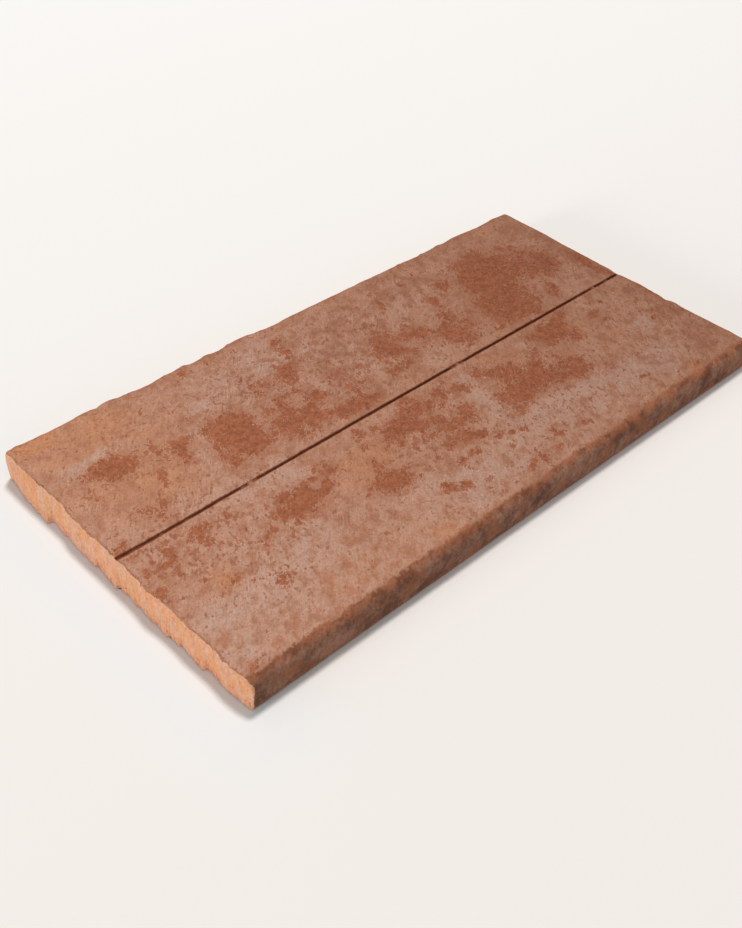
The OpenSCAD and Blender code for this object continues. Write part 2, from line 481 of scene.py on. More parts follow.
# ---- Zones of the surface, kept as point attributes that the material reads ----
# Reddish-brown fire marks on the walking face: x, y, half length, half width, strength in hundredths and,
# for some, the turn in degrees.
MARKS = [
    # the mark near the left end, with the small ones below it
    (-203, 67, 14, 7, 100), (-212, 69, 8, 4, 80), (-195, 63, 8, 6, 100), (-206, 57, 3, 5, 80),
    (-198, 74, 6, 3, 80), (-226, 55, 3, 4, 50), (-224, 47, 2, 3, 50), (-243, 63, 3, 3, 40),
    (-169, 66, 5, 1.5, 80, 75), (-171, 58, 4, 1.8, 80, 80), (-182, 42, 6, 2.2, 90, 68),
    (-186, 31, 2, 2, 60), (-156, 57, 8, 4.5, 95), (-158, 50, 5, 6, 90), (-148, 58, 4, 2.5, 70),
    (-164, 41, 5, 3, 40), (-197, 19, 7, 2.5, 90, 60), (-202, 11, 4, 2, 70), (-208, 20, 6, 5, 45),
    (-204, 5, 3, 3, 40), (-240, 4, 5, 2.5, 95), (-235, 8, 3, 2, 50), (-138, 75, 4, 4, 55),
    # the big mark left of the middle
    (-122, 43, 14, 16, 100), (-116, 54, 9, 7, 100), (-131, 55, 4, 5, 80), (-138, 24, 4.5, 7, 100),
    (-118, 25, 10, 7, 95), (-111, 40, 5, 12, 90),
    # the pair beside it, with their lobes
    (-89, 27, 9, 10, 100), (-71, 26, 9, 9, 100), (-76, 15, 3, 5, 90), (-63, 24, 4, 7, 90),
    (-77, 44, 3.5, 7, 95), (-88, 46, 4, 3, 90), (-80, 36, 5, 3, 90), (-73, 52, 4, 4, 60),
    (-66, 52, 3, 2, 70), (-58, 51, 3, 3, 65), (-86, 12, 5, 5, 50), (-53, 71, 6, 6, 95),
    (-50, 77, 4, 3, 70), (-56, 62, 5, 4, 55), (-53, 38, 7, 5, 95), (-48, 14, 7, 6, 100),
    (-36, 12, 9, 5, 100), (-24, 12, 8, 4, 90), (-37, 19, 5, 4, 60), (-34, 5, 3, 3, 60),
    (-28, 26, 3, 5, 75), (-20, 30, 4, 3, 60), (-13, 30, 4, 2, 50), (-75, 74, 8, 6, 38),
    (-82, 66, 6, 8, 35), (-68, 67, 5, 4, 35), (-81, 84, 4, 3, 60), (-73, 83, 3, 2, 50),
    (-79, 92, 3, 3, 50), (-36, 93, 5, 12, 55), (-31, 104, 5, 4, 50), (-38, 77, 5, 4, 60),
    (-46, 72, 6, 4, 40), (-108, 117, 3, 5, 70), (-117, 110, 2, 4, 50), (-86, 116, 2, 5, 60),
    (-75, 121, 3, 3, 60), (-22, 45, 10, 8, 42), (-6, 45, 3, 3, 65),
    # right of the middle, behind the groove
    (25, 44, 8, 9, 100), (28, 57, 7, 6, 80), (30, 66, 5, 6, 55), (14, 42, 3, 5, 60), (37, 32, 5, 4, 75),
    (30, 37, 4, 3, 80), (12, 24, 6, 3.5, 95), (7, 23, 2.5, 5, 75), (21, 23, 5, 3, 70), (26, 25, 3, 3, 60),
    (50, 47, 8, 4.5, 100), (56, 45, 4.5, 5, 100), (62, 46, 4, 3, 60), (54, 56, 5, 5, 50),
    (46, 52, 3, 3, 50), (50, 32, 5, 5, 30), (76, 33, 8, 8, 85), (72, 25, 6, 8, 80), (85, 25, 7, 8, 75),
    (83, 15, 6, 4, 75), (78, 10, 4, 3, 65), (88, 50, 6, 4, 70), (95, 35, 7, 5, 60), (97, 27, 5, 4, 55),
    (90, 43, 6, 4, 60), (80, 39, 6, 4, 60), (62, 94, 3, 5, 75), (60, 86, 2, 4, 65), (33, 77, 4, 3, 50),
    (68, 104, 3, 2, 60), (93, 100, 4, 2, 60), (106, 103, 5, 2, 50), (118, 80, 6, 6, 90),
    (98, 70, 4, 4, 50), (95, 62, 5, 8, 40), (108, 41, 3, 4, 50), (115, 13, 4, 5, 75), (107, 12, 3, 3, 60),
    # the largest mark, towards the right end
    (124, 26, 8, 12, 100), (124, 42, 6, 6, 90), (160, 75, 20, 13, 100), (168, 92, 10, 7, 85),
    (151, 90, 8, 4, 85), (140, 60, 9, 12, 100), (137, 66, 5, 8, 100), (155, 58, 12, 13, 85),
    (180, 66, 8, 9, 80), (166, 68, 12, 9, 100), (145, 42, 13, 10, 100), (135, 25, 10, 14, 100),
    (147, 25, 10, 12, 90), (160, 21, 8, 4, 85), (150, 12, 8, 6, 75), (150, 5, 5, 4, 60),
    (155, 38, 5, 5, 70), (184, 58, 5, 4, 60), (208, 48, 11, 10, 100), (197, 65, 4, 6, 75),
    (212, 58, 6, 5, 90), (200, 37, 5, 5, 85), (187, 45, 6, 4, 80), (193, 50, 5, 4, 70),
    (180, 14, 4, 5.5, 85), (185, 22, 3, 5, 75), (188, 28, 3, 3, 60), (185, 33, 3, 2, 50),
    (196, 86, 4, 5, 75), (206, 83, 3, 3, 65), (221, 71, 3, 2, 55), (213, 90, 4, 2, 40),
    (180, 75, 8, 8, 70), (172, 52, 10, 7, 65), (165, 34, 9, 8, 50), (205, 68, 9, 7, 50),
    (190, 60, 6, 6, 45), (244, 42, 3, 12, 60), (244, -32, 3, 14, 60), (237, 28, 3.5, 17, 100),
    (240, 8, 3, 6, 60), (236, 100, 4, 8, 35), (240, 70, 3, 7, 50),
    # in front of the groove, left end to the middle
    (-219, -15, 4.5, 5, 85), (-222, -23, 4, 4, 85), (-229, -24, 3, 3, 85), (-197, -14, 4, 4.5, 85),
    (-188, -13, 3, 3, 70), (-196, -24, 4, 4, 60), (-192, -29, 2, 2, 60), (-204, -17, 4, 3, 40),
    (-174, -15, 3, 2.6, 100), (-232, -17, 2, 3, 65), (-234, -30, 2, 2, 75), (-239, -22, 3, 3, 65),
    (-238, -6, 3, 2, 60), (-228, -7, 3, 2, 55), (-243, -40, 4, 3.5, 95), (-224, -35, 2.4, 2, 75),
    (-218, -43, 2, 1.5, 65), (-216, -48, 2, 1.5, 50), (-210, -37, 2, 2, 65), (-220, -53, 2, 1.4, 55),
    (-205, -64, 2, 1.5, 50), (-204, -58, 3, 3.5, 70), (-182, -76, 4, 3, 85), (-176, -79, 2, 2, 65),
    (-175, -69, 1.8, 1.8, 70), (-187, -83, 1.8, 1.2, 65), (-180, -81, 2, 1.2, 60),
    (-195, -67, 2.5, 1.5, 50), (-164, -42, 4, 3, 80), (-170, -44, 3, 2, 65), (-160, -44, 2, 2, 45),
    (-172, -50, 2, 1.2, 55), (-183, -36, 2, 1.6, 55), (-177, -64, 1.8, 1.2, 55),
    (-231, -71, 1.6, 1.6, 65), (-147, -36, 6, 5, 100), (-133, -34, 9, 8, 100), (-139, -27, 5, 4, 90),
    (-135, -41, 6, 4, 80), (-145, -48, 3, 2, 85), (-155, -54, 2, 2, 50), (-150, -42, 2, 2, 50),
    (-125, -33, 6, 9, 100), (-115, -37, 4, 4, 90), (-107, -32, 4, 5, 90), (-111, -36, 5, 3, 85),
    (-113, -24, 3, 2, 75), (-96, -25, 6, 4, 80), (-100, -20, 6, 5, 50), (-137, -104, 1.6, 1.2, 80),
    (-110, -89, 2.2, 1.6, 80), (-235, -114, 6, 2.5, 50, 20), (-194, -110, 1.6, 1.2, 40),
    # the speckled marks in the middle
    (-58, -10, 4, 6, 75), (-63, -14, 3, 2, 60), (-65, -22, 3, 3, 55), (-48, -12, 3, 4, 50),
    (-56, -33, 4, 3, 50), (-32, -22, 9, 6, 100), (-41, -21, 4, 4, 85), (-22, -20, 5, 6, 90),
    (-12, -14, 7, 7, 80), (-31, -29, 9, 4, 90), (-43, -33, 4, 4, 75), (-20, -32, 6, 4, 90),
    (-8, -35, 5, 5, 90), (-46, -25, 4, 3, 70), (-5, -18, 5, 5, 80), (-10, -5, 5, 4, 70),
    (-25, -43, 6, 3, 75), (-8, -44, 6, 4, 80), (-38, -45, 2, 2, 65), (-73, -56, 9, 6, 100),
    (-84, -53, 6, 3, 90), (-77, -62, 6, 5, 100), (-66, -60, 5, 6, 95), (-80, -66, 2.5, 3, 75),
    (-74, -45, 3, 6, 75), (-70, -38, 2.4, 4, 75), (-96, -57, 3, 2, 65), (-55, -55, 4, 3, 42),
    (-19, -57, 5, 4, 90), (-14, -54, 3, 4, 70), (-5, -55, 5, 4, 75), (-7, -63, 5, 3, 65),
    (-30, -54, 3, 2, 55), (-50, -64, 1.8, 1.6, 70), (-57, -67, 2.2, 2, 65), (-35, -62, 5, 1.6, 45),
    (-27, -76, 2.2, 3.8, 90), (-24, -73, 2.2, 2, 85), (-19, -82, 3, 2, 65), (-12, -74, 4, 2.6, 85),
    (-7, -72, 1.8, 1.6, 65), (-50, -86, 5, 3.5, 100), (-53, -82, 2.4, 2.2, 85), (-41, -91, 4, 3, 90),
    (-38, -95, 2.2, 2.6, 75), (-25, -98, 2.8, 1.7, 85), (-31, -103, 1.8, 1.3, 90),
    (-15, -110, 1.8, 1.3, 50), (-27, -112, 1.8, 1.3, 50), (-80, -71, 1.8, 1.3, 55), (14, -14, 5, 6, 90),
    (4, -18, 4, 5, 55), (26, -6, 2, 3, 50), (30, -18, 6, 4, 90), (34, -24, 3, 3, 80), (24, -22, 3, 2, 70),
    (5, -26, 5, 4, 50), (13, -42, 5, 6, 90), (4, -46, 6, 4, 80), (20, -38, 4, 5, 60), (2, -60, 5, 4, 80),
    (5, -64, 5, 3, 85), (19, -65, 2.2, 1.6, 65), (13, -72, 4, 2.5, 90), (22, -75, 3, 1.6, 80),
    (31, -78, 3.2, 2, 90), (35, -63, 1.8, 1.8, 75), (33, -56, 2.2, 1.7, 65), (45, -65, 5, 4, 75),
    (52, -63, 2.2, 2, 65),
    # the big mark in front of the groove
    (72, -47, 20, 9, 100), (55, -52, 8, 6, 100), (60, -57, 8, 3, 90), (86, -51, 12, 6, 100),
    (96, -57, 6, 4, 80), (75, -34, 8, 6, 90), (70, -24, 8, 4, 95), (60, -22, 6, 3, 85),
    (53, -18, 4, 5, 80), (62, -30, 4, 3, 70), (92, -40, 6, 7, 90), (48, -45, 3, 4, 60),
    (80, -27, 4, 3, 70), (55, -11, 4, 3, 50), (104, -27, 6, 5, 70), (112, -50, 6, 6, 80),
    (118, -62, 9, 4.5, 95), (108, -61, 6, 4, 85), (123, -53, 5, 5, 80), (113, -38, 4, 4, 50),
    (125, -22, 6, 7, 90), (134, -18, 9, 8, 100), (143, -20, 8, 8, 100), (138, -12, 10, 5, 90),
    (152, -10, 6, 4, 85), (160, -6, 5, 4, 80), (147, -29, 6, 4, 80), (147, -36, 6, 3, 60),
    (120, -14, 5, 4, 70), (183, -22, 5, 3, 90), (177, -25, 4, 3, 80), (190, -11, 2.2, 2, 60),
    (199, -16, 2, 2, 50), (183, -34, 4, 2.4, 65), (46, -93, 3, 3, 90), (47, -98, 4, 1.7, 85),
    (50, -89, 2, 2, 60), (37, -98, 2, 2, 65), (34, -93, 2, 1.3, 50), (27, -97, 2, 1.6, 55),
    (22, -96, 1.6, 1.2, 50), (11, -86, 2.2, 1.6, 55), (19, -107, 3.5, 3.8, 100), (12, -105, 3, 2.4, 80),
    (6, -108, 4, 2.4, 90), (35, -106, 4, 2.5, 75), (45, -106, 2, 3, 55), (70, -102, 3, 2.6, 90),
    (63, -102, 1.8, 1.6, 45), (93, -87, 4, 1.7, 55), (114, -101, 3, 1.6, 45), (17, -82, 1.8, 1.3, 50),
    (148, -97, 4, 1.8, 65, -25), (142, -94, 2, 1.6, 60), (147, -103, 3, 1.6, 60, -30),
    (138, -51, 2, 1.6, 70), (215, -56, 3, 1.6, 50), (165, -76, 2.2, 2, 50), (190, -112, 3, 1.6, 80, 30),
]
# Pale bloom on the skin, in the same form.
BLOOM = [
    (-207, 82, 16, 3.5, 80, 8), (-185, 76, 10, 4, 50, -25), (-222, 76, 8, 6, 50), (-140, 60, 5, 10, 60),
    (-123, 79, 8, 4, 90), (-100, 92, 16, 14, 50), (-56, 84, 16, 5, 80), (-56, 100, 16, 14, 65),
    (-95, 66, 9, 14, 50), (-73, 60, 6, 2.5, 70, -15), (-42, 36, 5, 8, 50), (0, 55, 8, 14, 50),
    (45, 20, 14, 10, 50), (60, 62, 5, 8, 40), (78, 85, 14, 10, 40), (137, 78, 6, 14, 50),
    (175, 42, 10, 5, 40), (215, 25, 16, 12, 40), (-150, 38, 8, 10, 50), (-25, 78, 10, 10, 40),
    (-195, -75, 18, 12, 60), (-187, -68, 3, 6, 70), (-230, -75, 9, 6, 80), (-232, -103, 8, 6, 70),
    (-150, -60, 16, 10, 50), (-120, -12, 8, 8, 50), (-146, -5, 10, 4, 50), (-30, -86, 12, 5, 80),
    (-16, -97, 5, 2.5, 80), (-38, -104, 8, 6, 60), (36, -40, 6, 14, 90), (32, -55, 8, 8, 70),
    (38, -14, 5, 6, 70), (52, -74, 16, 6, 90), (85, -76, 12, 6, 70), (110, -79, 8, 6, 90),
    (106, -14, 6, 4, 60), (142, -84, 18, 8, 80), (160, -100, 20, 8, 60), (200, -54, 9, 5, 100),
    (195, -75, 16, 12, 50), (200, -15, 12, 12, 40), (182, -88, 14, 8, 60), (-60, -76, 20, 6, 30),
    (-180, -90, 60, 24, 38), (-40, -102, 80, 14, 38), (70, -100, 60, 14, 40), (-150, -20, 50, 20, 25),
    (10, -82, 60, 12, 35), (-150, 8, 50, 10, 35),
]
# Warm orange-tan clay, in the same form; a negative strength is a darker, browner place.
WARM = [
    (-228, 116, 20, 8, 100), (-180, 108, 16, 12, 50), (-210, 95, 30, 12, 35), (-195, 40, 30, 18, 35),
    (-175, 18, 25, 12, 15), (-208, -56, 9, 9, 80), (-110, -100, 40, 16, 45), (-160, -100, 20, 14, 40),
    (-85, -38, 24, 18, 50), (-60, -30, 20, 14, 45), (-80, -112, 10, 8, 60), (167, 44, 8, 9, 60),
    (150, 85, 12, 8, 40), (108, 5, 12, 6, 40), (70, -10, 14, 8, 50), (90, -18, 10, 8, 40),
    (157, -28, 10, 8, 50), (-48, 98, 8, 5, 50), (-16, 115, 8, 5, 50), (45, 116, 20, 6, 50),
    (20, -92, 12, 6, 40), (120, -40, 10, 6, 50), (175, -48, 10, 6, 40), (232, -6, 8, 8, 60),
    (238, -103, 8, 10, 60), (186, -114, 7, 5, 80), (205, 112, 24, 6, 40), (8, 8, 10, 5, 40),
    (-15, 60, 26, 34, -35), (30, 95, 30, 24, -25), (-5, 20, 12, 10, -10), (90, 95, 26, 22, -30),
    (222, -97, 20, 12, -50), (234, 50, 10, 30, -45), (234, -15, 10, 24, -45), (234, -75, 9, 24, -40),
    (-190, 70, 55, 50, 40),
]
# Places where hard grits scored the soft clay with short parallel lines, in the same form.
SCRATCHED = [
    (-232, 45, 5, 5, 100), (-198, 52, 4, 6, 100), (-188, 15, 6, 5, 90), (-178, 4, 8, 4, 90),
    (-172, -34, 6, 4, 90), (-120, -64, 7, 6, 90), (-182, -62, 4, 9, 50), (-137, -3, 6, 4, 100),
    (-34, -50, 6, 4, 100), (-12, -50, 6, 4, 100), (-19, -72, 5, 4, 100), (-95, 75, 8, 12, 90),
    (-108, 76, 4, 7, 60), (-38, 82, 7, 6, 90), (-42, 35, 4, 6, 90), (42, 72, 10, 8, 90),
    (62, 66, 8, 8, 90), (16, 78, 6, 6, 70), (0, 50, 4, 8, 60), (75, -55, 9, 5, 90), (60, -28, 9, 7, 70),
    (86, -32, 7, 5, 80), (-4, -97, 4, 4, 70), (180, -36, 14, 6, 60), (145, -76, 12, 5, 60),
    (228, -60, 12, 8, 80), (192, -112, 7, 4, 100), (105, -42, 10, 8, 80), (118, -68, 12, 6, 60),
    (168, 52, 14, 12, 70), (10, -4, 10, 4, 60), (140, 12, 14, 8, 60), (-60, 95, 16, 10, 50),
    (60, -8, 16, 6, 60), (-160, 20, 14, 9, 50),
]
# Places spattered with small reddish specks, in the same form.
SPECKLED = [
    (-215, -28, 42, 30, 100), (-205, -20, 36, 22, 80), (-155, -45, 30, 22, 70), (-190, 40, 34, 40, 40),
    (-60, 60, 50, 45, 60), (20, 60, 40, 50, 60), (110, 60, 30, 40, 50), (130, -75, 50, 24, 60),
    (60, -70, 40, 18, 60), (218, -60, 22, 50, 45), (-30, -40, 50, 22, 80), (225, 40, 14, 40, 50),
]


def field(marks, x, y, spread=1.0):
    """How strongly marks show at each point: up to 1 inside them, about a half at an edge and 0 far off,
    and below 0 in those of negative strength."""
    left, signed = np.ones_like(x), np.zeros_like(x)
    for mark in marks:
        cx, cy, half_long, half_wide, strength = mark[:5]
        turned = math.radians(mark[5]) if len(mark) > 5 else 0.0
        u = ((x - cx) * math.cos(turned) + (y - cy) * math.sin(turned)) / (half_long * spread)
        v = (-(x - cx) * math.sin(turned) + (y - cy) * math.cos(turned)) / (half_wide * spread)
        shape = strength / 100 * np.exp(-0.7 * (u * u + v * v) ** 1.15)
        if strength > 0:
            left = left * (1 - shape)
        else:
            signed = signed + shape
    return 1 - left + signed


px, py, pz = points
# The outlines of the marks and the bloom wander by a few millimetres.
wander_x, wander_y = [4.0 * fractal(px, py, 9.0, seed, 3, 0.6) for seed in (101, 103)]
wx, wy = px + wander_x, py + wander_y
# How far round the nosing a point lies: below 0 on the walking face, and 0 where the bend starts.
bend_foot = THICK - NOSING_RADIUS
quarter_turn = round(math.pi / 2 * NOSING_RADIUS, 2)
short_of_bend = np.clip(py + HALF_W, 0, NOSING_RADIUS) - NOSING_RADIUS
round_bend = -np.arctan2(short_of_bend, np.maximum(pz - bend_foot, 0.01)) * NOSING_RADIUS
on_nosing = np.where(pz > bend_foot, round_bend, quarter_turn + (bend_foot - pz))
on_walk = np.clip(-(py + HALF_W - NOSING_RADIUS), -30, 0)
large_marks = [mark for mark in MARKS if mark[2] * mark[3] > 8]
zones = {
    "marks": field(MARKS, wx, wy),
    "glow": field(large_marks, wx, wy, 1.7),
    "bloom": field(BLOOM, wx, wy, 1.35),
    "warm": field(WARM, px, py),
    "scratched": field(SCRATCHED, px, py),
    "speckled": field(SPECKLED, px, py),
    "end_depth": np.clip(end_depth, 0.0, 30.0),
    "nose": np.where(py < -HALF_W + NOSING_RADIUS + 0.01, on_nosing, on_walk),
    "back": np.clip(back_edge(px + HALF_L) - HALF_W - py, 0.0, 30.0),
    "groove": in_groove,
    "height": pz,
}
for name, values in zones.items():
    zone = tile.data.attributes.new(name, "FLOAT", "POINT")
    zone.data.foreach_set("value", np.asarray(values, np.float32))

# ---- Material ----
# The way that the skin was stroked and smeared, in degrees from the tile's length.
STROKES_TURN = 50.0


def linear(r, g, b):
    """A colour as seen on a screen, 0 to 255, in the linear values that nodes take."""
    out = []
    for v in (r, g, b):
        v /= 255
        out.append(v / 12.92 if v <= 0.04045 else ((v + 0.055) / 1.055) ** 2.4)
    return (*out, 1.0)


class Graph:
    """Short names for the nodes that the materials and the world are made of."""

    def __init__(self, owner):
        owner.use_nodes = True
        self.tree = owner.node_tree
        self.tree.nodes.clear()

    def node(self, kind, inputs=None, **settings):
        """A new node with its settings, and with what goes into its inputs."""
        made = self.tree.nodes.new(kind)
        for key, value in settings.items():
            setattr(made, key, value)
        for key, value in (inputs or {}).items():
            self.put(made.inputs[key], value)
        return made

    def put(self, socket, value):
        """Links a socket to another, or sets its number or colour, or leaves it for None."""
        if isinstance(value, bpy.types.NodeSocket):
            self.tree.links.new(value, socket)
        elif value is not None:
            socket.default_value = value

    def zone(self, name):
        return self.node("ShaderNodeAttribute", attribute_name=name).outputs["Fac"]

    def math(self, what, a, b=None, c=None):
        return self.node("ShaderNodeMath", {0: a, 1: b, 2: c}, operation=what).outputs[0]

    def step(self, value, low, high):
        """0 up to low, 1 from high on, and a smooth rise between them; high may be the lower number."""
        inputs = {"Value": value, "From Min": low, "From Max": high}
        made = self.node("ShaderNodeMapRange", inputs, interpolation_type="SMOOTHSTEP")
        return made.outputs["Result"]

    def noise(self, where, size, detail=3, rough=0.6, distort=0):
        """Noise about 0, mostly from -1 to 1, with hills about size mm across."""
        inputs = {"Vector": where, "Scale": 1 / size, "Detail": detail}
        inputs |= {"Roughness": rough, "Distortion": distort}
        made = self.node("ShaderNodeTexNoise", inputs, noise_dimensions="3D")
        return self.math("MULTIPLY_ADD", made.outputs["Fac"], 8.0, -4.0)

    def cells(self, where, size):
        """Distance, in cells, to the nearest of scattered points about size mm apart, and its colour."""
        inputs = {"Vector": where, "Scale": 1 / size, "Randomness": 1.0}
        made = self.node("ShaderNodeTexVoronoi", inputs, feature="F1")
        return made.outputs["Distance"], made.outputs["Color"]

    def some(self, kind, share):
        """1 for that share of the cells, and 0 for the others, from the cells' random colours."""
        parts = self.node("ShaderNodeSeparateColor", {0: kind})
        return self.math("LESS_THAN", parts.outputs[0], share)

    def shifted(self, where, by):
        return self.node("ShaderNodeVectorMath", {0: where, 1: by}, operation="ADD").outputs[0]

    def stretch(self, where, scale, turn=0):
        """The place turned about Z, in degrees, and then scaled."""
        inputs = {"Vector": where, "Angle": math.radians(turn)}
        spun = self.node("ShaderNodeVectorRotate", inputs, rotation_type="Z_AXIS")
        inputs = {"Vector": spun.outputs[0], "Scale": scale}
        return self.node("ShaderNodeMapping", inputs, vector_type="POINT").outputs[0]

    def mix(self, share, a, b):
        """Colour a with that share of colour b in it, each a socket or a screen's red, green and blue."""
        a, b = [linear(*colour) if isinstance(colour, tuple) else colour for colour in (a, b)]
        inputs = {"Factor": share, "A": a, "B": b}
        made = self.node("ShaderNodeMix", inputs, data_type="RGBA", blend_type="MIX", clamp_factor=True)
        return next(s for s in made.outputs if s.type == "RGBA")

    def tint(self, base, value, low, high, share, colour):
        """The base, with up to that share of a colour in it, as the value goes from low to high."""
        return self.mix(self.times(self.step(value, low, high), share), base, colour)

    def times(self, a, b):
        return self.math("MULTIPLY", a, b)

    def total(self, *parts):
        """The sum of (value, weight) pairs."""
        value, weight = parts[0]
        sum_so_far = value if weight == 1.0 else self.times(value, weight)
        for value, weight in parts[1:]:
            sum_so_far = self.math("MULTIPLY_ADD", value, weight, sum_so_far)
        return sum_so_far

    def shade(self, colour, amount):
        """The colour made lighter or darker by a share, a little more in its blue than in its red."""
        inputs = {0: (0.85, 1.0, 1.12), "Scale": amount}
        change = self.node("ShaderNodeVectorMath", inputs, operation="SCALE")
        inputs = {0: colour, 1: self.shifted(change.outputs[0], (1.0, 1.0, 1.0))}
        return self.node("ShaderNodeVectorMath", inputs, operation="MULTIPLY").outputs[0]

    def surface(self, colour, rough, specular, normal=None):
        """Ends a material with one plain shader."""
        inputs = {"Base Color": colour, "Roughness": rough, "Specular IOR Level": specular}
        shader = self.node("ShaderNodeBsdfPrincipled", inputs | {"Normal": normal})
        self.node("ShaderNodeOutputMaterial", {"Surface": shader.outputs[0]})


def terracotta():
    """The fired clay: skin, marks, raw ends, nosing, torn back, grain and relief, laid on in turn."""
    material = bpy.data.materials.new("terracotta")
    g = Graph(material)
    place = g.node("ShaderNodeTexCoord").outputs["Object"]
    at = g.node("ShaderNodeVectorMath", {0: place, "Scale": 1 / MM}, operation="SCALE").outputs[0]
    split = g.node("ShaderNodeSeparateXYZ", {0: at})
    drawn = g.stretch(at, (0.20, 1, 1), -STROKES_TURN)
    smeared = g.stretch(at, (0.75, 1, 1), -STROKES_TURN)

    dust = g.noise(at, 0.9, 2, 0.6)
    fine = g.noise(at, 1.9)
    grain = g.noise(smeared, 3.4, 3, 0.62)
    blot = g.noise(smeared, 7.5, 4, 0.62)
    cloud = g.noise(at, 22, 4, 0.6)
    strokes = g.noise(drawn, 1.25, 3, 0.6, 0.3)
    dragged = g.noise(g.stretch(at, (1, 1, 0.24)), 1.5)

    # The fired skin: tan clay mottled with warmer and browner places, under a pale bloom.
    mottle = g.total((grain, 0.20), (blot, 0.55), (cloud, 0.42))
    skin = g.mix(g.step(mottle, -0.9, 0.9), (168, 113, 87), (187, 139, 116))
    olive = g.noise(g.shifted(at, (23, 7, 61)), 4.5, 4, 0.65)
    skin = g.tint(skin, olive, 0.2, 1.2, 0.30, (178, 134, 98))
    warm = g.total((g.zone("warm"), 1), (blot, 0.12), (cloud, 0.14))
    skin = g.tint(skin, warm, 0.05, 0.95, 0.75, (189, 126, 86))
    skin = g.tint(skin, warm, -0.05, -0.55, 0.7, (156, 102, 77))
    bloom = g.total((g.zone("bloom"), 1), (grain, 0.06), (blot, 0.24), (cloud, 0.10))
    skin = g.tint(skin, bloom, 0.15, 1.05, 0.80, (188, 150, 132))

    # Fire marks: a reddish glow round them, ragged edges, paler veins and darker cores.
    veins = g.noise(g.shifted(smeared, (71, 5, 9)), 4.8, 3, 0.6, 0.5)
    web = g.step(g.math("ABSOLUTE", veins), 0.38, 0.08)
    glow = g.total((g.zone("glow"), 1), (blot, 0.26), (grain, 0.26), (web, -0.34))
    skin = g.tint(skin, glow, 0.50, 0.90, 0.50, (166, 106, 78))
    marks = g.total((g.zone("marks"), 1), (blot, 0.19), (grain, 0.17), (fine, 0.07), (web, -0.44))
    skin = g.tint(skin, marks, 0.14, 0.26, 0.45, (163, 102, 75))
    mark_tone = g.total((olive, 0.40), (fine, 0.28))
    mark_colour = g.mix(g.step(mark_tone, -1, 1), (133, 72, 45), (170, 100, 67))
    inside = g.times(g.step(marks, 0.31, 0.40), 0.93)
    skin = g.mix(inside, skin, mark_colour)

    # Loose specks of the same colour, thickest round the marks, and tiny dark flecks anywhere.
    loose = g.noise(g.shifted(smeared, (37, 11, 5)), 3.2, 3, 0.55, 0.15)
    spatter = g.total((g.zone("speckled"), -0.75), (g.zone("glow"), -0.25), (cloud, -0.20))
    specks = g.step(g.math("SUBTRACT", loose, g.math("ADD", spatter, 1.25)), 0, 0.20)
    skin = g.mix(g.times(specks, 0.66), skin, (147, 86, 60))
    fleck_near, fleck_kind = g.cells(g.shifted(at, (3, 57, 21)), 5.5)
    fleck_edge = g.total((fleck_near, 1), (dust, 0.04), (fine, 0.04))
    flecks = g.times(g.step(fleck_edge, 0.22, 0.10), g.some(fleck_kind, 0.40))
    skin = g.mix(g.times(flecks, 0.45), skin, (130, 80, 58))
    # Painted light: the skin is lighter towards the left end and darker towards the right, as light that
    # falls off along the tile.
    skin = g.shade(skin, g.math("MULTIPLY_ADD", split.outputs["X"], -0.00088, -0.08))

    # Raw, paler clay where the ends were cut, streaked by the wire and redder towards the torn foot.
    raw_hue = g.noise(g.stretch(g.shifted(at, (4, 61, 17)), (1, 1, 0.6)), 9, 3, 0.4)
    raw = g.mix(g.step(raw_hue, -1, 1), (223, 161, 117), (220, 169, 140))
    flush = g.noise(g.stretch(g.shifted(at, (9, 41, 3)), (1, 1, 0.4)), 4.5, 3, 0.45)
    raw = g.tint(raw, flush, 0, 1.2, 0.45, (216, 141, 112))
    low = g.total((g.zone("height"), 1), (blot, 2), (dragged, 2))
    raw = g.tint(raw, low, 6, -1, 0.25, (223, 154, 128))
    foot_specks = g.total((g.noise(g.shifted(at, (5, 31, 77)), 2.6, 3, 0.5), 1), (low, -0.11))
    raw = g.tint(raw, foot_specks, 0, 0.7, 0.65, (202, 116, 84))
    depth = g.total((g.zone("end_depth"), 1), (blot, 0.22), (grain, 0.40), (fine, 0.16))
    cut = g.step(depth, 1.10, 0.70)
    rim = g.times(g.step(depth, 3, 1.2), g.step(g.total((blot, 1), (cloud, 0.6)), -0.9, 0.9))
    skin = g.mix(g.times(rim, 0.72), skin, (132, 79, 52))

    # The nosing: redder in blotches where it bends, then a dark mottled face that is paler at its foot.
    creep = g.total((fine, 0.5), (grain, 1.1), (blot, 1.3), (cloud, 1.2))
    nose = g.math("ADD", g.zone("nose"), creep)
    streaks = g.noise(g.stretch(at, (0.8, 1, 0.35)), 2, 4, 0.65)
    smear = g.noise(g.shifted(at, (19, 83, 47)), 13, 4, 0.62)
    face_tone = g.total((streaks, 0.22), (fine, 0.10), (grain, 0.08), (blot, 0.30), (cloud, 0.55))
    face = g.mix(g.step(face_tone, -1.1, 1.1), (99, 64, 49), (157, 113, 92))
    face = g.tint(face, smear, -0.1, 1, 0.65, (152, 92, 61))
    foot = g.math("ADD", g.zone("height"), blot)
    face = g.tint(face, foot, 4, 1, 0.5, (166, 112, 88))
    bend_tone = g.total((blot, 0.7), (smear, 0.6))
    bend = g.mix(g.step(bend_tone, -0.9, 0.9), (116, 65, 42), (160, 97, 66))
    skin = g.mix(g.times(g.step(nose, -0.4, 2.4), 0.92), skin, bend)
    skin = g.mix(g.step(nose, 2.5, 9.5), skin, face)
